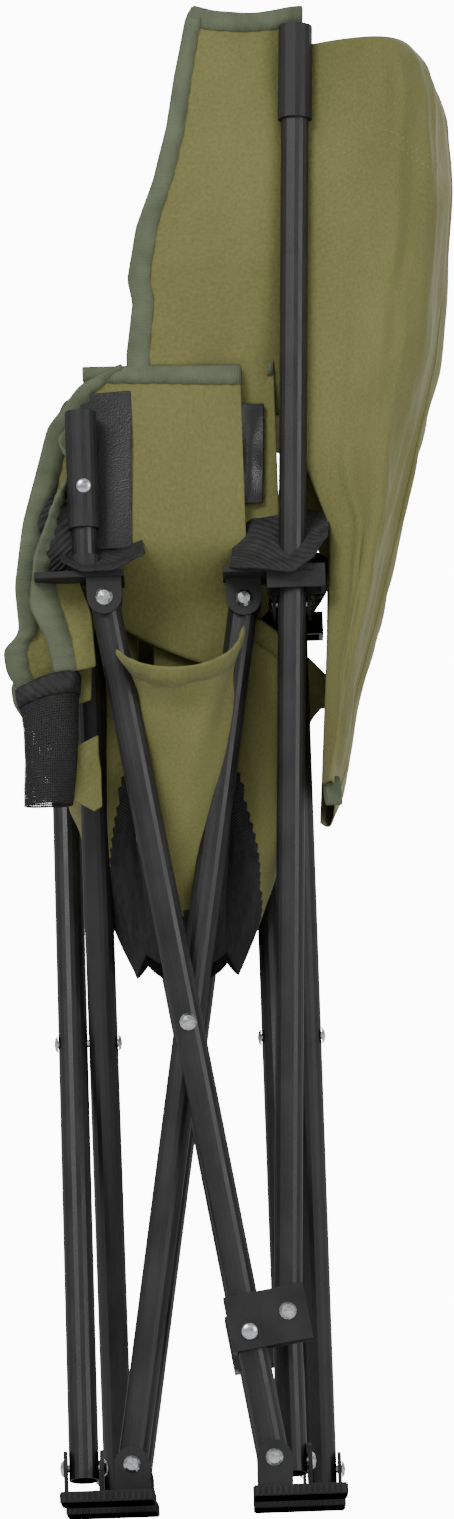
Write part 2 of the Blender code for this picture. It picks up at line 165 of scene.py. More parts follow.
def make_world():
    """A white backdrop that the camera sees, and a much dimmer glow that lights the chair."""
    world = bpy.data.worlds.new("room")
    bpy.context.scene.world = world
    world.use_nodes = True
    nodes, links = world.node_tree.nodes, world.node_tree.links
    seen, felt = nodes["Background"], nodes.new("ShaderNodeBackground")
    for glow, strength in ((seen, BACKDROP_GLOW), (felt, ROOM_GLOW)):
        glow.inputs["Color"].default_value = WHITE
        glow.inputs["Strength"].default_value = strength
    path = nodes.new("ShaderNodeLightPath")
    either = nodes.new("ShaderNodeMixShader")
    links.new(path.outputs["Is Camera Ray"], either.inputs["Fac"])
    links.new(felt.outputs["Background"], either.inputs[1])
    links.new(seen.outputs["Background"], either.inputs[2])
    links.new(either.outputs["Shader"], nodes["World Output"].inputs["Surface"])


make_camera()
make_light("key", (-1.6, -2.4, 2.6), 1.4, 62)
make_light("fill", (2.2, -2.2, 1.2), 1.6, 26)
make_light("back", (1.2, 2.6, 2.2), 1.6, 45)
make_light("low", (0.6, -2.6, -0.9), 1.6, 12)
make_floor()
make_world()

# --- Steel tubes ----------------------------------------------------------------------------------------
# The legs, the back posts and the arm posts are round steel tube with a satin black powder coat: a fine
# orange-peel surface, slightly duller where hands and straps have rubbed it.


def add_noise(nodes, links, scale, detail, source="Object"):
    """A noise texture on the piece's own coordinates, or on its UV map."""
    place = nodes.new("ShaderNodeTexCoord")
    noise = nodes.new("ShaderNodeTexNoise")
    noise.inputs["Scale"].default_value = scale
    noise.inputs["Detail"].default_value = detail
    links.new(place.outputs[source], noise.inputs["Vector"])
    return noise


def add_range(nodes, links, source, low, high, target):
    """Spreads a noise's usual 0.3 to 0.7 between low and high, and feeds it to a socket."""
    spread = nodes.new("ShaderNodeMapRange")
    spread.inputs["From Min"].default_value = 0.3
    spread.inputs["From Max"].default_value = 0.7
    spread.inputs["To Min"].default_value = low
    spread.inputs["To Max"].default_value = high
    links.new(source, spread.inputs["Value"])
    links.new(spread.outputs["Result"], target)


def add_bump(nodes, links, shader, height, strength, distance):
    """Feeds a height to the shader's normal."""
    bump = nodes.new("ShaderNodeBump")
    bump.inputs["Strength"].default_value = strength
    bump.inputs["Distance"].default_value = distance
    links.new(height, bump.inputs["Height"])
    links.new(bump.outputs["Normal"], shader.inputs["Normal"])


def add_two_tone(nodes, links, factor, dark, light, target):
    """Mixes two colours by a factor that runs from about 0.35 to 0.65."""
    ramp = nodes.new("ShaderNodeValToRGB")
    ramp.color_ramp.elements[0].position = 0.35
    ramp.color_ramp.elements[1].position = 0.65
    ramp.color_ramp.elements[0].color = (*dark, 1)
    ramp.color_ramp.elements[1].color = (*light, 1)
    links.new(factor, ramp.inputs["Fac"])
    links.new(ramp.outputs["Color"], target)


def powder_coat():
    """Satin black with an orange-peel bump and a slow change of gloss."""
    look, nodes, links, shader = new_material("black_powder_coat", (0.012, 0.012, 0.013), 0.4)
    shader.inputs["Specular IOR Level"].default_value = 0.6
    peel = add_noise(nodes, links, 900, 2)
    add_bump(nodes, links, shader, peel.outputs["Fac"], 0.25, 0.0004)
    rub = add_noise(nodes, links, 26, 4)
    add_range(nodes, links, rub.outputs["Fac"], 0.32, 0.48, shader.inputs["Roughness"])
    add_two_tone(
        nodes, links, rub.outputs["Fac"], (0.009, 0.009, 0.010), (0.017, 0.017, 0.018),
        shader.inputs["Base Color"],
    )
    return look


def repaint(look, wanted):
    """Gives a material to every CAD node whose name passes the test."""
    for name, node in frame["nodes"].items():
        if wanted(name):
            node.data.materials.clear()
            node.data.materials.append(look)


def is_tube(name):
    """True for the nodes of the legs, the back posts and the arm posts."""
    return "rivet" not in name and ("tube" in name or name.endswith("post"))


repaint(powder_coat(), is_tube)

# --- Plastic fittings -----------------------------------------------------------------------------------
# Feet, hubs, brackets and caps are moulded in black plastic with a fine matte grain. The tubes are
# riveted between their ears.


def moulded_plastic():
    """Matte black with a fine grain and faint flow marks."""
    look, nodes, links, shader = new_material("black_plastic", (0.016, 0.016, 0.017), 0.52)
    shader.inputs["Specular IOR Level"].default_value = 0.45
    grain = add_noise(nodes, links, 1400, 3)
    add_bump(nodes, links, shader, grain.outputs["Fac"], 0.3, 0.0003)
    flow = add_noise(nodes, links, 45, 3)
    add_range(nodes, links, flow.outputs["Fac"], 0.44, 0.62, shader.inputs["Roughness"])
    add_two_tone(
        nodes, links, flow.outputs["Fac"], (0.012, 0.012, 0.013), (0.022, 0.022, 0.023),
        shader.inputs["Base Color"],
    )
    return look


def is_plastic(name):
    """True for the nodes of the feet, hubs, brackets and caps."""
    fitting = any(word in name for word in ("foot", "hub", "bracket", "cap"))
    return fitting and "rivet" not in name and "tube" not in name


plastic = moulded_plastic()
repaint(plastic, is_plastic)

# --- Rivets ---------------------------------------------------------------------------------------------
# Bright zinc-plated rivets hold every joint. One more holds each bracket to its tube, and a screw with a
# domed head holds each arm post's cap.


def bright_zinc():
    """Polished zinc, a little uneven in gloss."""
    look, nodes, links, shader = new_material("bright_zinc", (0.66, 0.68, 0.72), 0.25, 1.0)
    stain = add_noise(nodes, links, 600, 4)
    add_range(nodes, links, stain.outputs["Fac"], 0.16, 0.36, shader.inputs["Roughness"])
    add_two_tone(
        nodes, links, stain.outputs["Fac"], (0.55, 0.57, 0.60), (0.78, 0.79, 0.80),
        shader.inputs["Base Color"],
    )
    return look


zinc = bright_zinc()
repaint(zinc, lambda name: "rivet" in name)


def make_mesh(name, points, faces, look):
    """A mesh object from an array of points and a list or array of faces."""
    mesh = bpy.data.meshes.new(name)
    mesh.from_pydata(np.asarray(points, float).reshape(-1, 3).tolist(), [], [tuple(f) for f in faces])
    mesh.update()
    piece = bpy.data.objects.new(name, mesh)
    bpy.context.scene.collection.objects.link(piece)
    mesh.materials.append(look)
    return piece


def grid_faces(rows, columns, wrap=False):
    """Quads between neighbouring points of a grid stored row by row.

    The point at (row, column) has the number row * columns + column. wrap joins the last column to the first.
    """
    row, column = np.meshgrid(np.arange(rows - 1), np.arange(columns - (not wrap)), indexing="ij")
    right = (column + 1) % columns
    corners = (row * columns + column, row * columns + right, (row + 1) * columns + right)
    last = (row + 1) * columns + column
    return np.stack([*corners, last], -1).reshape(-1, 4)


def turned(name, profile, centre, along, look, sides=24):
    """A profile of (radius, height) pairs turned about an axis through centre; its ends lie on the axis."""
    along = np.asarray(along, float) / np.linalg.norm(along)
    first = np.cross(along, (0, 0, 1) if abs(along[2]) < 0.9 else (1, 0, 0))
    first /= np.linalg.norm(first)
    second = np.cross(along, first)
    radius, height = np.asarray(profile, float).T
    turn = np.linspace(0, 2 * np.pi, sides, endpoint=False)
    ring = np.cos(turn)[:, None] * first + np.sin(turn)[:, None] * second
    inner = radius[1:-1, None, None] * ring[None] + height[1:-1, None, None] * along
    ends = height[[0, -1], None] * along
    points = np.concatenate([inner.reshape(-1, 3), ends]) + centre
    count = len(radius) - 2
    faces = grid_faces(count, sides, wrap=True).tolist()
    low, high = count * sides, count * sides + 1
    around = [(k, (k + 1) % sides) for k in range(sides)]
    faces += [(low, b, a) for a, b in around]
    faces += [(high, (count - 1) * sides + a, (count - 1) * sides + b) for a, b in around]
    piece = make_mesh(name, points, faces, look)
    piece.data.shade_smooth()
    return piece


joints = {joint["name"]: joint for joint in frame["joints"]}


def centre_of(node):
    """The middle of a node's box: half the sum of its two corners."""
    low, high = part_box(node)
    return (np.array(low) + np.array(high)) / 2


def domed(radius, rise):
    """A dome's profile from its foot's middle to its top: a quarter ellipse."""
    turn = np.linspace(0, np.pi / 2, 6)
    return [(0, 0), *zip(radius * np.cos(turn[:-1]), rise * np.sin(turn[:-1])), (0, rise)]


SIDES = (("left", -1), ("right", 1))
RIVET_HEAD = 0.0056
RIVET_RISE = 0.0024
RIVET_UP_TUBE = 0.080
SCREW_HEAD = 0.0050
SCREW_RISE = 0.0020
SCREW_SINK = 0.0006
SCREW_BACK = 0.001
SCREW_DROP = 0.012
for side, out in SIDES:
    low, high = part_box(f"{side}_post_bracket")
    face = low[1] if out < 0 else high[1]
    tube_low = np.array(joints[f"rear_{side}_foot_pivot"]["pos_m"])
    tube_up = np.array(joints[f"{side}_cross"]["pos_m"]) - tube_low
    tube_up[1] = 0
    tube_up /= np.linalg.norm(tube_up)
    place = tube_low + tube_up * RIVET_UP_TUBE
    place[1] = face
    head = turned(f"{side}_bracket_rivet", domed(RIVET_HEAD, RIVET_RISE), place, (0, out, 0), zinc)
    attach(head, f"{side}_tube_rear_foot")
    cap = centre_of(f"{side}_arm_post_cap")
    low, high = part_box(f"{side}_arm_post_cap")
    face = low[1] + SCREW_SINK if out < 0 else high[1] - SCREW_SINK
    place = (cap[0] + SCREW_BACK, face, cap[2] - SCREW_DROP)
    screw = turned(f"{side}_arm_cap_screw", domed(SCREW_HEAD, SCREW_RISE), place, (0, out, 0), zinc)
    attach(screw, f"front_{side}_hub")

# --- Foot ribs ------------------------------------------------------------------------------------------
# Small upright ribs run round the edge of each foot's tread, moulded with it in the same black plastic,
# for grip.


def box_points(low, high):
    """The eight corners of a box; bit 0 of a corner's number picks x, bit 1 y and bit 2 z."""
    return [[(low, high)[corner >> axis & 1][axis] for axis in range(3)] for corner in range(8)]


BOX_FACES = ((0, 2, 3, 1), (4, 5, 7, 6), (0, 1, 5, 4), (2, 6, 7, 3), (0, 4, 6, 2), (1, 3, 7, 5))
RIB_PITCH = 0.0036
RIB_WIDTH = 0.0018
RIB_OUT = 0.0009
RIB_START = 0.3  # share of a pitch before each rib
RIB_LOW = 0.0006
RIB_HIGH = 0.0062
for end in ("front", "rear"):
    for side in ("left", "right"):
        foot = f"{end}_{side}_foot"
        low, high = map(np.array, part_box(foot))
        points, faces = [], []
        for axis in (0, 1):
            for number in range(int((high[axis] - low[axis]) / RIB_PITCH)):
                for wall in (low[1 - axis], high[1 - axis]):
                    rib_low, rib_high = np.zeros(3), np.zeros(3)
                    rib_low[axis] = low[axis] + (number + RIB_START) * RIB_PITCH
                    rib_high[axis] = rib_low[axis] + RIB_WIDTH
                    rib_low[1 - axis], rib_high[1 - axis] = wall - RIB_OUT, wall + RIB_OUT
                    rib_low[2], rib_high[2] = RIB_LOW, RIB_HIGH
                    faces += [tuple(len(points) + corner for corner in face) for face in BOX_FACES]
                    points += box_points(rib_low, rib_high)
        ribs = make_mesh(f"{foot}_ribs", points, faces, plastic)
        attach(ribs, foot)

# --- Cloth ----------------------------------------------------------------------------------------------
# Coated oxford cloth in olive green, sewn with light thread and edged with grey-green tape. Most panels
# hang between two moving parts of the chair, and each point is placed by its own share of the two.


def hinge_turn(axis, angle, pivot):
    """A 4x4 turn about an axis through a pivot: Rodrigues' formula."""
    x, y, z = np.asarray(axis, float) / np.linalg.norm(axis)
    skew = np.array([[0, -z, y], [z, 0, -x], [-y, x, 0]])
    turn = np.eye(3) + math.sin(angle) * skew + (1 - math.cos(angle)) * skew @ skew
    matrix = np.eye(4)
    matrix[:3, :3] = turn
    matrix[:3, 3] = np.asarray(pivot) - turn @ np.asarray(pivot)
    return matrix


behaviour = frame["record"]["behaviour"]
ratios = {row["joint"]: row["ratio"] for row in behaviour["couplings"]}
parents = {joint["child"]: joint for joint in frame["joints"]}
FULL_FOLD = math.radians(joints["fold"]["range_deg"][1])


def joint_travel(joint):
    """How far a joint goes, in radians or metres, when the chair opens all the way."""
    return FULL_FOLD * ratios.get(joint["name"], 1)


def joint_motion(joint):
    """The joint's own 4x4 motion over its whole travel."""
    reach = joint_travel(joint)
    if joint["type"] == "hinge":
        return hinge_turn(joint["axis"], reach, joint["pos_m"])
    matrix = np.eye(4)
    matrix[:3, 3] = np.array(joint["axis"]) * reach
    return matrix


def opened(body):
    """A body's 4x4 motion from the folded chair to the open one."""
    if body not in parents:
        return np.eye(4)
    joint = parents[body]
    return opened(joint["parent"]) @ joint_motion(joint)


def moved(matrix, points):
    """Places after a 4x4 motion: turned by its left part, then shifted by its last column."""
    return points @ matrix[:3, :3].T + matrix[:3, 3]


def fold_back(points, share, near, far):
    """Open places carried to the folded chair.

    Each goes back with the near body, then back by its share of the far body's joint.
    """
    local = moved(np.linalg.inv(opened(near)), points)
    joint = parents[far]
    reach = joint_travel(joint) * share[..., None]
    if joint["type"] == "slide":
        return local - reach * np.array(joint["axis"])
    axis = np.array(joint["axis"]) / np.linalg.norm(joint["axis"])
    arm = local - np.array(joint["pos_m"])
    cosine, sine = np.cos(-reach), np.sin(-reach)
    spun = arm * cosine + np.cross(axis, arm) * sine
    spun += axis * (arm @ axis)[..., None] * (1 - cosine)
    return spun + np.array(joint["pos_m"])


def normals_of(points):
    """Unit normals of a grid of points, from the cross product of its two directions."""
    across = np.gradient(points, axis=0)
    along = np.gradient(points, axis=1)
    normal = np.cross(across, along)
    return normal / np.maximum(np.linalg.norm(normal, axis=-1, keepdims=True), 1e-9)


def creases(u, v, seed, count, pitch):
    """Soft creases between -1 and 1, the mean of a few waves in seeded directions.

    A wave is 1 - 2 |sin| across its run, so its crests are sharp, and it fades in and out along them.
    """
    random = np.random.default_rng(seed)
    total = np.zeros_like(u)
    for _ in range(count):
        turn = random.uniform(-0.9, 0.9)
        wave = random.uniform(0.7, 1.6) * 2 * np.pi / pitch
        phase = random.uniform(0, 2 * np.pi)
        run = u * np.cos(turn) + v * np.sin(turn)
        side = -u * np.sin(turn) + v * np.cos(turn)
        fade = 0.5 + 0.5 * np.sin(side * wave * 0.31 + phase * 1.7)
        total += (1 - 2 * np.abs(np.sin(run * wave * 0.5 + phase + 0.8 * np.sin(side * wave * 0.23)))) * fade
    return total / count


def set_points(piece, points):
    """Moves a piece's points to new places."""
    piece.data.vertices.foreach_set("co", np.asarray(points, np.float32).ravel())
    piece.data.update()


def give_uv(piece, uv):
    """A UV map in metres along the cloth, from one pair of numbers per point."""
    layer = piece.data.uv_layers.new(name="cloth")
    loops = np.zeros(len(piece.data.loops), np.int32)
    piece.data.loops.foreach_get("vertex_index", loops)
    layer.data.foreach_set("uv", np.asarray(uv, np.float32).reshape(-1, 2)[loops].ravel())


def thicken(piece, thickness, levels=1):
    """Gives the cloth its thickness, half on each side, and rounds it."""
    if levels:
        rounder = piece.modifiers.new("rounder", "SUBSURF")
        rounder.levels = rounder.render_levels = levels
    wall = piece.modifiers.new("wall", "SOLIDIFY")
    wall.thickness = thickness
    wall.offset = 0


def carry(piece, points, share):
    """Lays a piece out flat along x by each point's share, then gives it its shape.

    A share s is laid at t where 3t^2 - 2t^3 = s.
    """
    share = np.clip(np.asarray(share, float).ravel(), 0, 1)
    flat = np.zeros((len(share), 3))
    flat[:, 0] = 0.5 - np.sin(np.arcsin(1 - 2 * share) / 3)
    set_points(piece, flat)
    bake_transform(piece)
    set_points(piece, points)


CLOTH_THICKNESS = 0.0009


def cloth_piece(name, points, share, uv, near, far, look, thickness=CLOTH_THICKNESS, levels=1):
    """A cloth panel from a grid of folded places; far is None where it rides on one body."""
    piece = make_mesh(name, points, grid_faces(*points.shape[:2]), look)
    give_uv(piece, uv)
    piece.data.shade_smooth()
    if far is None:
        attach(piece, near)
    else:
        carry(piece, points, share)
    thicken(piece, thickness, levels)
    return piece


def resample(grid, rows, columns):
    """Reads a grid at fractional row and column numbers, linear between its points."""
    rows = np.clip(rows, 0, grid.shape[0] - 1)
    columns = np.clip(columns, 0, grid.shape[1] - 1)
    r = np.minimum(rows.astype(int), grid.shape[0] - 2)
    c = np.minimum(columns.astype(int), grid.shape[1] - 2)
    fr, fc = rows - r, columns - c
    if grid.ndim == 3:
        fr, fc = fr[..., None], fc[..., None]
    top = grid[r, c] * (1 - fc) + grid[r, c + 1] * fc
    low = grid[r + 1, c] * (1 - fc) + grid[r + 1, c + 1] * fc
    return top * (1 - fr) + low * fr


def distance_along(line):
    """How far along a line each of its places lies: the running sum of the steps between them."""
    return np.concatenate([[0], np.cumsum(np.linalg.norm(np.diff(line, axis=0), axis=-1))])


TAPE_WIDTH = 0.0125
TAPE_LIFT = 0.0011
TAPE_THICKNESS = 0.0006
TAPE_EDGE = 0.0008
TAPE_ROUND = -0.0009
PUCKER = 0.0005
TAPE_SECTION = (  # how far in from the cloth's edge, and the share of the lift off its face
    (TAPE_WIDTH, 0.9), (TAPE_WIDTH * 0.5, 1.0), (TAPE_EDGE, 1.0), (TAPE_ROUND, 0.0),
    (TAPE_EDGE, -1.0), (TAPE_WIDTH * 0.5, -1.0), (TAPE_WIDTH, -0.9),
)


def bind_edge(name, points, share, edge, near, far, look):
    """Tape folded over one edge of a grid: its section goes in along one face, round the edge and back.

    edge is "first row", "last row", "first column" or "last column".
    """
    grid = points if "row" in edge else points.transpose(1, 0, 2)
    weight = share if "row" in edge else share.T
    if "last" in edge:
        grid, weight = grid[::-1], weight[::-1]
    step = np.linalg.norm(np.diff(grid, axis=0), axis=-1).mean()
    count = grid.shape[1]
    column = np.arange(count, dtype=float)
    normal = normals_of(grid)
    rows, weights = [], []
    pucker = PUCKER * np.sin(column * 1.9 + 0.7 * np.sin(column * 0.37))
    outward = grid[0] - resample(grid, np.full(count, 1.0), column)
    outward /= np.maximum(np.linalg.norm(outward, axis=-1, keepdims=True), 1e-9)
    for inward, lift in TAPE_SECTION:
        depth = np.full(count, max(inward, 0) / step)
        place = resample(grid, depth, column)
        place = place + resample(normal, depth, column) * (TAPE_LIFT * lift + pucker * np.sign(lift))[:, None]
        place = place + outward * max(-inward, 0)
        rows.append(place)
        weights.append(resample(weight, depth, column))
    shape, held_share = np.array(rows), np.array(weights)
    across = distance_along(shape[:, count // 2])
    uv = np.stack(np.meshgrid(across, distance_along(grid[0]), indexing="ij"), -1)
    piece = cloth_piece(name, shape, held_share, uv, near, far, look, TAPE_THICKNESS, 0)
    return piece


def add_ribs(nodes, links, direction, scale, distortion=0.0):
    """Waves on the cloth's own UV map, whose crests lie 0.31 / scale metres apart.

    On the diagonal they lie 0.44 / scale metres apart.
    """
    place = nodes.new("ShaderNodeTexCoord")
    ribs = nodes.new("ShaderNodeTexWave")
    ribs.bands_direction = direction
    ribs.inputs["Scale"].default_value = scale
    ribs.inputs["Distortion"].default_value = distortion
    links.new(place.outputs["UV"], ribs.inputs["Vector"])
    return ribs


def add_math(nodes, links, operation, first, second):
    """One step of arithmetic on an output and either a number or another output."""
    step = nodes.new("ShaderNodeMath")
    step.operation = operation
    links.new(first, step.inputs[0])
    if isinstance(second, float):
        step.inputs[1].default_value = second
    else:
        links.new(second, step.inputs[1])
    return step.outputs["Value"]


def oxford_cloth():
    """A plain weave of slubby threads about 0.9 mm apart, with a soft uneven shade and a dull sheen."""
    look, nodes, links, shader = new_material("olive_oxford_cloth", (0.18, 0.18, 0.055), 0.78)
    shader.inputs["Sheen Weight"].default_value = 0.12
    shader.inputs["Sheen Roughness"].default_value = 0.5
    threads = [add_ribs(nodes, links, axis, 360, 0.6) for axis in ("X", "Y")]
    for ribs in threads:
        ribs.inputs["Detail Scale"].default_value = 2
    weave = add_math(nodes, links, "MULTIPLY", threads[0].outputs["Fac"], threads[1].outputs["Fac"])
    add_bump(nodes, links, shader, weave, 0.35, 0.0005)
    shade = add_noise(nodes, links, 9, 3, "UV")
    slub = add_noise(nodes, links, 420, 2, "UV")
    both = add_math(nodes, links, "ADD", shade.outputs["Fac"], slub.outputs["Fac"])
    half = add_math(nodes, links, "MULTIPLY", both, 0.5)
    add_two_tone(
        nodes, links, half, (0.150, 0.150, 0.040), (0.215, 0.213, 0.066), shader.inputs["Base Color"],
    )
    return look


def binding_tape():
    """Woven tape with ribs across it about 1 mm apart."""
    look, nodes, links, shader = new_material("grey_green_tape", (0.14, 0.17, 0.10), 0.8)
    ribs = add_ribs(nodes, links, "Y", 330)
    add_bump(nodes, links, shader, ribs.outputs["Fac"], 0.5, 0.0005)
    tone = add_noise(nodes, links, 40, 3, "UV")
    add_two_tone(
        nodes, links, tone.outputs["Fac"], (0.105, 0.130, 0.075), (0.150, 0.180, 0.108),
        shader.inputs["Base Color"],
    )
    return look


olive = oxford_cloth()
tape = binding_tape()
FRONT_X, _, HUB_Z = joints["front_left_hub_pivot"]["pos_m"]

# --- The back -------------------------------------------------------------------------------------------
# One panel between the two posts, sewn as two halves that meet down the middle. Folded, it doubles back
# behind the posts and tapers towards the seat.


def post_axis(side, height):
    """Places on a folded back post's axis at these heights."""
    low = np.array(joints[f"{side}_back_post_pivot"]["pos_m"])
    high = centre_of(f"{side}_back_post_cap")
    share = (height - low[2]) / (high[2] - low[2])
    return low + share[..., None] * (high - low)


def unit_grid(rows, columns):
    """Two grids of numbers from 0 to 1, the first rising by rows and the second by columns."""
    return np.meshgrid(np.linspace(0, 1, rows), np.linspace(0, 1, columns), indexing="ij")


def edge_fade(u, v, first, last, low, high):
    """1 in the middle of a panel and 0 at its edges: the least of four ramps, each of its own steepness."""
    fade = np.minimum(np.minimum(u * first, (1 - u) * last), np.minimum(v * low, (1 - v) * high))
    return np.clip(fade, 0, 1)


STITCH_PITCH = 0.0042
STITCH_STOPS = np.array([0.12, 0.5, 0.88])  # a stitch's start, middle and end, in shares of the pitch
STITCH_SIZES = np.array([0.35, 1.0, 0.35])
THREAD_WIDE = 0.0005
THREAD_HIGH = 0.0009
THREAD_SECTION = np.array([(-1, 0.1), (0, 1), (1, 0.1), (0, -0.9)])  # shares of the width and the height
STITCH_FACES = np.array(
    [(a + k, a + (k + 1) % 4, a + (k + 1) % 4 + 4, a + k + 4) for a in (0, 4) for k in range(4)]
    + [(3, 2, 1, 0), (8, 9, 10, 11)]
)


def stitch_line(name, points, share, row, column, near, far, look, pitch=STITCH_PITCH):
    """Thread lying in stitches along a line of fractional grid places.

    Each stitch is a bead of three four-cornered sections: a place on the line, plus the section's width
    across the line and its height along the cloth's normal, both times the section's size.
    """
    run = distance_along(resample(points, row, column))
    count = max(2, int(run[-1] / pitch))
    stops = (STITCH_STOPS + np.arange(count)[:, None]) * run[-1] / count
    r, c = np.interp(stops, run, row), np.interp(stops, run, column)
    spot = resample(points, r, c)
    up = resample(normals_of(points), r, c)[:, 1]
    along = spot[:, 2] - spot[:, 0]
    along /= np.maximum(np.linalg.norm(along, axis=-1, keepdims=True), 1e-9)
    aside = np.cross(up, along)
    across, lift = THREAD_SECTION.T[:, None, :, None]
    section = aside[:, None] * across * THREAD_WIDE + up[:, None] * lift * THREAD_HIGH
    places = (spot[:, :, None] + section[:, None] * STITCH_SIZES[:, None, None]).reshape(-1, 3)
    weights = np.repeat(resample(share, r, c), len(THREAD_SECTION))
    corners = STITCH_SIZES.size * len(THREAD_SECTION)
    faces = (STITCH_FACES + corners * np.arange(count)[:, None, None]).reshape(-1, 4)
    piece = make_mesh(name, places, faces, look)
    if far is None:
        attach(piece, near)
    else:
        carry(piece, places, weights)


def thread(colour):
    """Twisted sewing thread: one colour, with a very fine bump."""
    look, nodes, links, shader = new_material("sewing_thread", colour, 0.6)
    twist = add_noise(nodes, links, 2500, 1)
    add_bump(nodes, links, shader, twist.outputs["Fac"], 0.4, 0.0003)
    return look


seam_thread = thread((0.36, 0.38, 0.14))
BACK_LOW = 0.452
BACK_TOP = CHAIR_TOP - 0.012
BACK_WIDTH = 0.215  # one half, flat
BACK_OVERLAP = 0.0005
BACK_INSIDE = 0.004
SEAM_SHARES = [0, 0.2, 0.32, 0.5, 1]
SEAM_HEIGHTS = [0.865, 0.884, 0.879, 0.868, 0.853]
SEAM_GAP = 0.008


def back_half(side, out):
    """Half of the back, from its post (u = 0) to the middle of the chair (u = 1), low (v = 0) to high.

    The share of the middle's motion is 1 - (1 - u)^2.3. Behind the post's axis the cloth stands off from
    start_gap to reach, by share^0.9. Across the chair it is where the open cloth lies flat, less the share
    of the middle's own travel.
    """
    rows, columns = 56, 84
    u, v = unit_grid(rows, columns)
    post, middle = f"{side}_back_post", f"{side}_back_cloth"
    tall = BACK_TOP - BACK_LOW
    height = BACK_LOW + tall * v
    axis = post_axis(side, height)
    above = height - HUB_Z
    start_gap = np.interp(above, [-0.13, 0.0, 0.045, 0.09], [0.020, 0.024, 0.024, 0.006])
    reach = np.interp(
        above,
        [-0.128, -0.101, -0.054, 0.0, 0.083, 0.171, 0.23, 0.284, 0.336, 0.358, 0.372],
        [0.028, 0.0365, 0.0415, 0.056, 0.075, 0.094, 0.0995, 0.102, 0.099, 0.092, 0.076],
    )
    reach = np.maximum(reach, start_gap + 0.004)
    share = 1 - (1 - u) ** 2.3
    travel = np.array(parents[middle]["axis"]) * joint_travel(parents[middle])
    folded = axis.copy()
    folded[..., 0] += start_gap + (reach - start_gap) * share ** 0.9
    folded[..., 1] += u * (-out * BACK_OVERLAP - axis[..., 1] + travel[1]) - share * travel[1]
    folded[..., 1] -= out * BACK_INSIDE * (1 - u)
    cloth_u = u * BACK_WIDTH
    rumple = creases(cloth_u * 1.2, height * 0.55, 3 + out, 9, 0.12) * 0.015
    rumple += creases(cloth_u, height, 5 + out, 9, 0.05) * 0.0032
    folded += normals_of(folded) * (rumple * edge_fade(u, v, 8, 30, 30, 30))[..., None]
    uv = np.stack([cloth_u * out, height], -1)
    piece = cloth_piece(f"{side}_back_panel", folded, share, uv, post, middle, olive)
    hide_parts(middle)
    for line, drop in (("upper", 0.0), ("lower", SEAM_GAP)):
        across = np.linspace(0.02, 0.99, 160)
        seam_height = np.interp(across, SEAM_SHARES, SEAM_HEIGHTS) - drop
        row, column = across * (rows - 1), (seam_height - BACK_LOW) / tall * (columns - 1)
        name = f"{side}_back_stitches_{line}"
        stitch_line(name, folded, share, row, column, post, middle, seam_thread)


for side, out in SIDES:
    back_half(side, out)

# --- The wings ------------------------------------------------------------------------------------------
# Ahead of each post the back cloth ends in a loose wing, which narrows upwards. Its front and top edges
# are bound with tape.


WING_LOW = 0.700
WING_TOP = CHAIR_TOP + 0.016
WING_TUCK_TOP = 0.80
WING_TUCK_TALL = 0.10


def wing(side, out):
    """A wing, from its post (u = 0) to its free front edge, whose line forward is set height by height.

    It bows out by the sine of pi u^0.8, less towards the top, and its foot tucks in under the arm.
    """
    rows, columns = 30, 60
    u, v = unit_grid(rows, columns)
    low, high = WING_LOW, WING_TOP
    post = f"{side}_back_post"
    height = low + (high - low) * v - 0.006 * np.sin(np.pi * u) * v
    axis = post_axis(side, height)
    front = np.interp(
        height,
        [0.70, 0.742, 0.775, 0.79, 0.824, 0.857, 0.89, 0.924, 0.965, 0.98],
        [-0.066, -0.065, -0.060, -0.063, -0.056, -0.043, -0.034, -0.028, -0.019, -0.010],
    )
    place = axis.copy()
    place[..., 0] = axis[..., 0] + 0.004 + (front - axis[..., 0] - 0.004) * u
    bow = np.sin(np.pi * u ** 0.8) * 0.010 * (1 - 0.5 * v)
    tuck = np.clip((WING_TUCK_TOP - height) / WING_TUCK_TALL, 0, 1)
    place[..., 1] = axis[..., 1] - out * (0.0105 - 0.006 * u + 0.013 * tuck) + out * bow * (1 - 0.8 * tuck)
    cloth_u = u * 0.09
    rumple = creases(cloth_u, height * 0.4, 21 + out, 8, 0.07) * 0.009
    rumple += creases(cloth_u, height, 23 + out, 8, 0.035) * 0.0022
    place += normals_of(place) * (rumple * np.minimum(1, u * 5))[..., None]
    share = np.zeros_like(u)
    piece = cloth_piece(f"{side}_wing", place, share, np.stack([cloth_u, height], -1), post, None, olive)
    bind_edge(f"{side}_wing_front_binding", place, share, "last row", post, None, tape)
    bind_edge(f"{side}_wing_top_binding", place, share, "last column", post, None, tape)


for side, out in SIDES:
    wing(side, out)

# --- The arms -------------------------------------------------------------------------------------------
# Each arm's side cloth runs from the arm post to the back post in two halves, which fold in three layers
# when the chair closes. Its upper edge is bound.


def accordion(u, turns):
    """Goes from the first place to the last by way of the others at a steady pace, with softened turns."""
    turns = np.asarray(turns, float)
    run = np.concatenate([[0], np.cumsum(np.abs(np.diff(turns)))])
    place = np.interp(u * run[-1], run, turns)
    for _ in range(3):
        place[1:-1] = (place[:-2] + 2 * place[1:-1] + place[2:]) / 4
    return place


ARM_LOW = 0.020  # above the hub's pivot, at the post
ARM_SAG = 0.078
ARM_HIGH = 0.158
TUCK_TOP = 0.040
TUCK_TALL = 0.045
TUCK_IN = 0.023


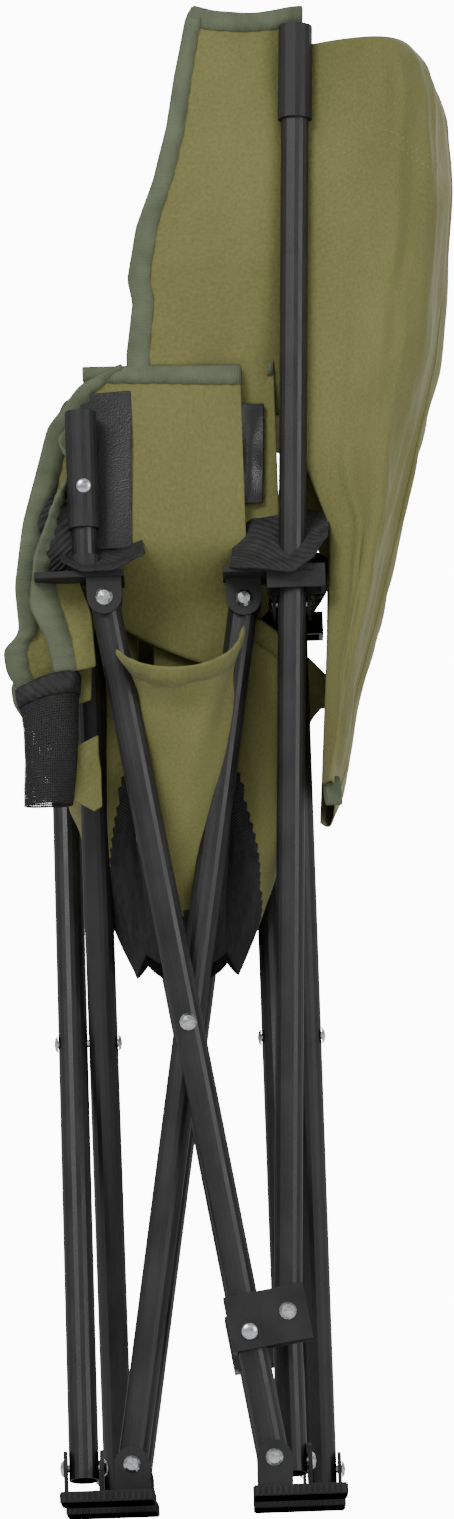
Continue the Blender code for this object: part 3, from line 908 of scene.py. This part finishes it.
def arm_half(side, out, half, turns, layers, seed):
    """Half of an arm's side, from its post to the arm's middle, by way of the turns of its folds.

    Open it lies straight, so a point's share is how far it lags behind its open place, over the whole
    travel. The lower edge sags with the square root of a sine, and an eased ramp tucks it inside.
    """
    rows, columns = 72, 34
    line = np.linspace(0, 1, rows)
    near = f"front_{side}_hub" if half == "front" else f"{side}_back_post"
    far = f"{side}_arm_cloth_{half}"
    reach = np.array(parents[far]["axis"]) * joint_travel(parents[far])
    x = accordion(line, turns)
    run = np.concatenate([[0], np.cumsum(np.abs(np.diff(x)))]) / np.abs(np.diff(x)).sum()
    flat_x = turns[0] + (turns[-1] + reach[0] - turns[0]) * run
    weight = np.clip((flat_x - x) / reach[0], 0, 1)
    weight[0], weight[-1] = 0, 1
    y = np.interp(run, np.linspace(0, 1, len(layers)), layers) * out
    v = np.linspace(0, 1, columns)
    low = HUB_Z + ARM_LOW - ARM_SAG * np.sin(np.pi / 2 * run[:, None]) ** 0.5
    high = HUB_Z + ARM_HIGH
    place = np.zeros((rows, columns, 3))
    place[..., 0] = x[:, None]
    place[..., 2] = low + (high - low) * v[None] - 0.004 * np.sin(np.pi * run)[:, None] * v[None]
    tuck = np.clip((HUB_Z + TUCK_TOP - place[..., 2]) / TUCK_TALL, 0, 1)
    place[..., 1] = y[:, None] - out * TUCK_IN * tuck ** 2 * (3 - 2 * tuck)
    u, w = np.meshgrid(run * 0.2, v * 0.14, indexing="ij")
    rumple = creases(u * 0.8, w * 0.5, seed, 7, 0.07) * 0.0040
    place[..., 1] += rumple * edge_fade(run[:, None], v[None], 9, 9, 30, 6)
    share = np.repeat(weight[:, None], columns, 1)
    piece = cloth_piece(f"{side}_arm_side_{half}", place, share, np.stack([u, w], -1), near, far, olive)
    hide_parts(far)
    bind_edge(f"{side}_arm_binding_{half}", place, share, "last column", near, far, tape)


ARM_MIDDLE = float(centre_of("left_arm_cloth_front")[0])
ARM_ENDS = 0.010  # how far the cloth starts ahead of a post's axis
ARM_BACK_RISE = 0.09  # above the hub's pivot, where the cloth meets the back post
FRONT_LAYERS = [0.0590, 0.0690, 0.0680, 0.0600, 0.0570]
REAR_LAYERS = [0.0610, 0.0560, 0.0530, 0.0500, 0.0560]
for side, out in SIDES:
    back_x = float(post_axis(side, np.array([HUB_Z + ARM_BACK_RISE]))[0, 0])
    arm_half(side, out, "front", [FRONT_X - ARM_ENDS, 0.010, -0.058, ARM_MIDDLE], FRONT_LAYERS, 31)
    arm_half(side, out, "rear", [back_x - ARM_ENDS, -0.052, 0.012, ARM_MIDDLE], REAR_LAYERS, 33)

# --- The seat -------------------------------------------------------------------------------------------
# Four gores between the diagonal webbing straps, green outside and black mesh towards the middle. Folded,
# they hang down inside the legs.


def black_cloth(name, scale, colour=(0.012, 0.012, 0.013)):
    """Black woven or knitted cloth with a wavering diagonal rib."""
    look, nodes, links, shader = new_material(name, colour, 0.75)
    ribs = add_ribs(nodes, links, "DIAGONAL", scale, 1.0)
    add_bump(nodes, links, shader, ribs.outputs["Fac"], 0.6, 0.0008)
    tone = add_noise(nodes, links, 90, 3, "UV")
    dark = tuple(c * 0.7 for c in colour)
    light = tuple(c * 1.7 for c in colour)
    add_two_tone(nodes, links, tone.outputs["Fac"], dark, light, shader.inputs["Base Color"])
    return look


knit = black_cloth("black_mesh", 260)
webbing = black_cloth("black_webbing", 120, (0.016, 0.016, 0.017))
STRAP_SPAN = 0.2362
STRAP_HINGE = 0.224  # the hinge's height above the strap's lower end
GORE_RIM = 0.18
GREEN_DOWN = 0.80
GREEN_MIDDLE = 0.45


def strap_line(end, side, along):
    """Places along a hanging seat strap, measured down from its hinge, whose axis the frame gives."""
    hinge_place = centre_of(f"{end}_{side}_seat_strap")
    hinge_place[2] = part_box(f"{end}_{side}_seat_strap")[0][2] + STRAP_HINGE
    return hinge_place - along[..., None] * np.array([0, 0, STRAP_SPAN])


def gore(name, near_strap, far_body, far_strap, seed):
    """A gore of the seat, ruled between two straps of the open chair and carried back to the folded one.

    t runs from strap to strap and s from the rim to the seat's middle. The rim stands past the straps'
    hinges by GORE_RIM sin(pi t), and the cloth sags by sin(pi t) s (1 - s) and droops past the hinges.
    """
    rows, columns = 48, 46
    t, s = unit_grid(rows, columns)
    near_body = "_".join(near_strap) + "_seat_strap"
    rim = -GORE_RIM * np.sin(np.pi * t)
    along = rim + (1 - rim) * s
    first = moved(opened(near_body), strap_line(*near_strap, along))
    last = moved(opened("_".join(far_strap) + "_seat_strap"), strap_line(*far_strap, along))
    place = first + (last - first) * t[..., None]
    place[..., 2] -= 0.016 * np.sin(np.pi * t) * (1 - s) * s * 2 + 0.25 * np.maximum(-along, 0) ** 1.5
    folded = fold_back(place, t, near_body, far_body)
    rumple = creases(t * 0.26, along * 0.24, seed, 8, 0.07) * 0.0055
    folded += normals_of(folded) * (rumple * edge_fade(t, s, 7, 7, 30, 7))[..., None]
    uv = np.stack([t * 0.26, along * 0.236], -1)
    piece = cloth_piece(name, folded, t, uv, near_body, far_body, olive)
    piece.data.materials.append(knit)
    green = (along < GREEN_DOWN - np.abs(t - GREEN_MIDDLE))[:-1, :-1].ravel()
    piece.data.polygons.foreach_set("material_index", np.where(green, 0, 1).astype(np.int32))
    bind_edge(f"{name}_binding", folded, t, "first column", near_body, far_body, olive)
    return piece


left = gore("seat_left_gore", ("front", "left"), "rear_left_seat_strap", ("rear", "left"), 41)
front = gore("seat_front_gore", ("front", "left"), "front_right_seat_strap", ("front", "right"), 42)
rear = gore("seat_rear_gore", ("rear", "left"), "rear_right_seat_strap", ("rear", "right"), 43)
right = gore("seat_right_gore", ("front", "right"), "right_seat_seam", ("rear", "right"), 44)
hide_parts("front_left_seat_strap", "rear_left_seat_strap")
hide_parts("front_right_seat_strap")
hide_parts("rear_right_seat_strap")
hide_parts("right_seat_seam")

# --- The front arm ends ---------------------------------------------------------------------------------
# Ahead of each arm post the arm cloth is gathered in loose folds with a bound edge. A black vinyl patch
# with two rows of stitching holds it to the post.


def ruled(first, last, rows, columns, bulge=0.0):
    """A grid between two lines of (x, y, z) places, each read at even steps with its corners softened.

    It bulges along its normals by bulge sin(pi u) sin(pi v).
    """
    ends = []
    for line in (first, last):
        line = np.asarray(line, float)
        run = distance_along(line)
        at = np.linspace(0, run[-1], columns)
        smooth = np.stack([np.interp(at, run, line[:, k]) for k in range(3)], -1)
        for _ in range(2):
            smooth[1:-1] = (smooth[:-2] + 2 * smooth[1:-1] + smooth[2:]) / 4
        ends.append(smooth)
    u, v = unit_grid(rows, columns)
    grid = ends[0][None] + (ends[1] - ends[0])[None] * u[..., None]
    return grid + normals_of(grid) * (bulge * np.sin(np.pi * u) * np.sin(np.pi * v))[..., None]


def loose_patch(
    name, grid, body, look, crumple, pitch, seed, thickness=CLOTH_THICKNESS,
):
    """A patch of cloth on one body, crumpled along its normals by large creases and small ones.

    Its flat size is the mean length of its own lines each way. Gives back the crumpled grid.
    """
    step_u = np.linalg.norm(np.diff(grid, axis=0), axis=-1).sum(0).mean()
    step_v = np.linalg.norm(np.diff(grid, axis=1), axis=-1).sum(1).mean()
    u, v = unit_grid(*grid.shape[:2])
    rumple = creases(u * step_u, v * step_v, seed, 8, pitch) * crumple
    rumple += creases(u * step_u, v * step_v, seed + 50, 8, pitch * 0.45) * crumple * 0.3
    grid = grid + normals_of(grid) * rumple[..., None]
    uv = np.stack([u * step_u, v * step_v], -1)
    piece = cloth_piece(name, grid, np.zeros_like(u), uv, body, None, look, thickness)
    return grid


def side_of(line, out):
    """Moves a line drawn for the left side to either side."""
    return [(x, y * -out, z) for x, y, z in line]


def coated_cloth():
    """Black vinyl with a fine leather grain."""
    look, nodes, links, shader = new_material("black_vinyl", (0.017, 0.017, 0.018), 0.42)
    place = nodes.new("ShaderNodeTexCoord")
    grain = nodes.new("ShaderNodeTexVoronoi")
    grain.inputs["Scale"].default_value = 900
    links.new(place.outputs["UV"], grain.inputs["Vector"])
    add_bump(nodes, links, shader, grain.outputs["Distance"], 0.35, 0.0004)
    wear = add_noise(nodes, links, 40, 3, "UV")
    add_range(nodes, links, wear.outputs["Fac"], 0.30, 0.50, shader.inputs["Roughness"])
    return look


vinyl = coated_cloth()
pale_thread = thread((0.42, 0.42, 0.38))
ARC = [
    (-0.070, -0.0620, 0.735), (-0.096, -0.0640, 0.722), (-0.118, -0.0660, 0.694), (-0.125, -0.0680, 0.668),
    (-0.136, -0.0680, 0.630), (-0.142, -0.0660, 0.590), (-0.140, -0.0640, 0.560), (-0.151, -0.0600, 0.550),
    (-0.149, -0.0560, 0.535), (-0.137, -0.0540, 0.517), (-0.126, -0.0540, 0.508),
]
ARC_INSIDE = [
    (-0.062, -0.0600, 0.725), (-0.064, -0.0600, 0.700), (-0.068, -0.0600, 0.660), (-0.072, -0.0600, 0.620),
    (-0.088, -0.0600, 0.585), (-0.094, -0.0600, 0.550), (-0.096, -0.0580, 0.515),
]
LAP = [
    (-0.098, -0.0700, 0.700), (-0.112, -0.0740, 0.684), (-0.103, -0.0760, 0.668), (-0.117, -0.0790, 0.640),
    (-0.130, -0.0780, 0.604), (-0.133, -0.0760, 0.575), (-0.122, -0.0740, 0.552), (-0.118, -0.0700, 0.530),
]
LAP_INSIDE = [
    (-0.090, -0.0660, 0.700), (-0.096, -0.0660, 0.670), (-0.100, -0.0670, 0.640), (-0.104, -0.0680, 0.600),
    (-0.094, -0.0700, 0.570), (-0.092, -0.0680, 0.535),
]
VINYL_FRONT = [
    (-0.096, -0.0645, 0.716), (-0.108, -0.0645, 0.712), (-0.113, -0.0645, 0.700), (-0.115, -0.0650, 0.612),
]
VINYL_BACK = [(-0.064, -0.0655, 0.717), (-0.064, -0.0665, 0.690), (-0.067, -0.0670, 0.612)]
VINYL_THICKNESS = 0.0016
VINYL_PITCH = 0.0036
for side, out in SIDES:
    hub = f"front_{side}_hub"
    grid = ruled(side_of(ARC, out), side_of(ARC_INSIDE, out), 30, 84)
    grid = loose_patch(f"{side}_arm_front", grid, hub, olive, 0.0055, 0.042, 61)
    still = np.zeros(grid.shape[:2])
    bind_edge(f"{side}_arm_front_binding", grid, still, "first row", hub, None, tape)
    grid = ruled(side_of(LAP, out), side_of(LAP_INSIDE, out), 22, 70, 0.004)
    grid = loose_patch(f"{side}_arm_front_fold", grid, hub, olive, 0.0035, 0.035, 62)
    still = np.zeros(grid.shape[:2])
    bind_edge(f"{side}_arm_fold_binding", grid, still, "first row", hub, None, tape)
    grid = ruled(side_of(VINYL_FRONT, out), side_of(VINYL_BACK, out), 20, 44, 0.002)
    name = f"{side}_arm_vinyl"
    grid = loose_patch(name, grid, hub, vinyl, 0.0006, 0.05, 63, VINYL_THICKNESS)
    still = np.zeros(grid.shape[:2])
    long, wide = np.linspace(1, 42, 120), np.linspace(1, 18, 60)
    lines = [(np.full(120, row), long) for row in (1.6, 3.6)]
    lines += [(wide, np.full(60, column)) for column in (41.6, 39.4)]
    for line, (row, column) in enumerate(lines):
        name = f"{side}_vinyl_stitches_{line}"
        stitch_line(name, grid, still, row, column, hub, None, pale_thread, VINYL_PITCH)

# --- Webbing at the hubs --------------------------------------------------------------------------------
# Ribbed black webbing ties the cloth to the hubs: a stitched patch draped over each one, and a loose end
# in front. A narrow vinyl patch holds the arm cloth to each back post.


WEBBING_THICKNESS = 0.0014
WEBBING_PITCH = 0.004
REAR_VINYL_THICKNESS = 0.0012
PATCHES = {  # two lines of places for each patch, drawn for the left side
    "rear_corner": (
        [
            (-0.004, -0.0900, 0.592), (0.014, -0.0945, 0.590), (0.036, -0.0950, 0.586),
            (0.050, -0.0920, 0.597), (0.060, -0.0850, 0.612),
        ],
        [
            (-0.001, -0.0620, 0.612), (0.012, -0.0560, 0.634), (0.030, -0.0540, 0.640),
            (0.048, -0.0560, 0.636), (0.062, -0.0640, 0.630),
        ],
    ),
    "front_corner": (
        [
            (-0.112, -0.0900, 0.600), (-0.098, -0.0940, 0.592), (-0.078, -0.0950, 0.592),
            (-0.058, -0.0900, 0.604),
        ],
        [
            (-0.114, -0.0620, 0.612), (-0.096, -0.0560, 0.618), (-0.076, -0.0560, 0.617),
            (-0.060, -0.0620, 0.620),
        ],
    ),
    "arm_webbing": (
        [
            (-0.118, -0.0700, 0.648), (-0.127, -0.0740, 0.632), (-0.124, -0.0740, 0.612),
            (-0.128, -0.0700, 0.596),
        ],
        [
            (-0.102, -0.0680, 0.644), (-0.104, -0.0720, 0.630), (-0.104, -0.0720, 0.612),
            (-0.108, -0.0690, 0.600),
        ],
    ),
    "rear_vinyl": (
        [(0.004, -0.0660, 0.706), (0.004, -0.0660, 0.680), (0.002, -0.0640, 0.640)],
        [(0.022, -0.0630, 0.706), (0.021, -0.0640, 0.680), (0.019, -0.0630, 0.640)],
    ),
}


def patch_grid(patch, out, rows, columns, bulge=0.0):
    """The grid ruled between a patch's two lines, on either side of the chair."""
    first, last = PATCHES[patch]
    return ruled(side_of(first, out), side_of(last, out), rows, columns, bulge)


def webbing_patch(name, patch, body, out, rows, columns, crumple, seed):
    """A crumpled patch of webbing with one line of stitches along it, a quarter of the way across."""
    grid = patch_grid(patch, out, rows, columns)
    grid = loose_patch(name, grid, body, webbing, crumple, 0.03, seed, WEBBING_THICKNESS)
    still = np.zeros(grid.shape[:2])
    row, column = np.full(60, rows * 0.25), np.linspace(1, columns - 2, 60)
    stitch_line(f"{name}_stitches", grid, still, row, column, body, None, black_thread, WEBBING_PITCH)


black_thread = thread((0.05, 0.05, 0.05))
for side, out in SIDES:
    front, rear = f"front_{side}_hub", f"rear_{side}_hub"
    webbing_patch(f"rear_{side}_corner", "rear_corner", rear, out, 24, 44, 0.0022, 71)
    webbing_patch(f"front_{side}_corner", "front_corner", front, out, 20, 40, 0.0020, 72)
    webbing_patch(f"{side}_arm_webbing", "arm_webbing", front, out, 16, 34, 0.0022, 73)
    grid = patch_grid("rear_vinyl", out, 12, 30, -0.004 * out)
    name, post = f"{side}_arm_rear_vinyl", f"{side}_back_post"
    loose_patch(name, grid, post, vinyl, 0.0012, 0.03, 74, REAR_VINYL_THICKNESS)

# --- The drink pocket -----------------------------------------------------------------------------------
# A cup of black mesh, squashed flat by the fold, hangs under the left arm's front end. Its rim is bound
# with webbing, and an olive gusset joins it to the arm.


def open_mesh():
    """Black knitted mesh: round holes in a square pattern let some light through."""
    look, nodes, links, shader = new_material("open_mesh", (0.012, 0.012, 0.012), 0.7)
    place = nodes.new("ShaderNodeTexCoord")
    hole = nodes.new("ShaderNodeTexVoronoi")
    hole.inputs["Scale"].default_value = 620
    hole.inputs["Randomness"].default_value = 0.15
    links.new(place.outputs["UV"], hole.inputs["Vector"])
    add_bump(nodes, links, shader, hole.outputs["Distance"], 0.8, 0.0008)
    inside = add_math(nodes, links, "LESS_THAN", hole.outputs["Distance"], 0.28)
    see_through(nodes, links, shader, add_math(nodes, links, "MULTIPLY", inside, 0.55))
    return look


POCKET_ROUND = 0.11
POCKET_TALL = 0.08
POCKET_RADIUS = 0.0195
POCKET_SQUASH = 0.62
POCKET_HOLDER = "front_left_hub"
GUSSET_FRONT = [
    (-0.126, -0.0590, 0.476), (-0.124, -0.0600, 0.466), (-0.112, -0.0600, 0.452), (-0.096, -0.0600, 0.442),
]
GUSSET_BACK = [
    (-0.092, -0.0590, 0.492), (-0.092, -0.0600, 0.480), (-0.091, -0.0600, 0.466), (-0.091, -0.0600, 0.445),
]


def drink_pocket():
    """A squashed cup: an oval, wider towards its mouth, with three soft waves round it.

    u goes once round and v up from the bottom. The creases fade to nothing where the cup is seamed.
    """
    rows, columns = 40, 40
    u, v = unit_grid(rows, columns)
    middle = centre_of("drink_pocket")
    turn = u * 2 * np.pi
    wide = POCKET_RADIUS * (0.80 + 0.20 * v) * (1 + 0.05 * np.sin(3 * turn + 5 * v))
    place = np.stack([
        middle[0] + 0.008 + 0.004 * v + wide * np.cos(turn),
        middle[1] - 0.010 + wide * POCKET_SQUASH * np.sin(turn),
        middle[2] - POCKET_TALL / 2 + POCKET_TALL * v + 0.005 * np.cos(turn + 0.6) * v,
    ], -1)
    rumple = creases(u * POCKET_ROUND, v * POCKET_TALL, 81, 8, 0.03) * 0.0035
    rumple *= np.sin(np.pi * u) ** 0.5
    place += normals_of(place) * rumple[..., None]
    place[-1] = place[0]
    uv = np.stack([u * POCKET_ROUND, v * POCKET_TALL], -1)
    still = np.zeros_like(u)
    piece = cloth_piece("mesh_pocket", place, still, uv, POCKET_HOLDER, None, open_mesh(), 0.0008)
    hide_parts("drink_pocket")
    bind_edge("mesh_pocket_rim", place, still, "last column", POCKET_HOLDER, None, webbing)
    grid = ruled(GUSSET_FRONT, GUSSET_BACK, 16, 24, 0.003)
    loose_patch("pocket_gusset", grid, POCKET_HOLDER, olive, 0.002, 0.03, 82)


drink_pocket()

# --- Loops of tape --------------------------------------------------------------------------------------
# A short loop of grey-green tape, folded in two and sewn in, ends the back's lower corner and the seat's
# lowest corner.


def tape_loop(name, top, width, drop, body):
    """Tape folded in two: down one side, round the bottom and up the other."""
    rows, columns = 21, 7
    u, v = unit_grid(rows, columns)
    turn = (u - 0.5) * np.pi
    place = np.stack([
        top[0] + (v - 0.5) * width + 0.001 * np.sin(5 * u),
        top[1] + 0.0022 * np.sin(turn),
        top[2] - drop * np.cos(turn) ** 0.6,
    ], -1)
    uv = np.stack([u * drop * 2, v * width], -1)
    piece = cloth_piece(name, place, np.zeros_like(u), uv, body, None, tape, 0.001)


tape_loop("back_corner_loop", (0.057, -0.072, 0.457), 0.010, 0.018, "left_back_post")
tape_loop("seat_corner_loop", (-0.004, -0.020, 0.412), 0.011, 0.018, "rear_left_seat_strap")
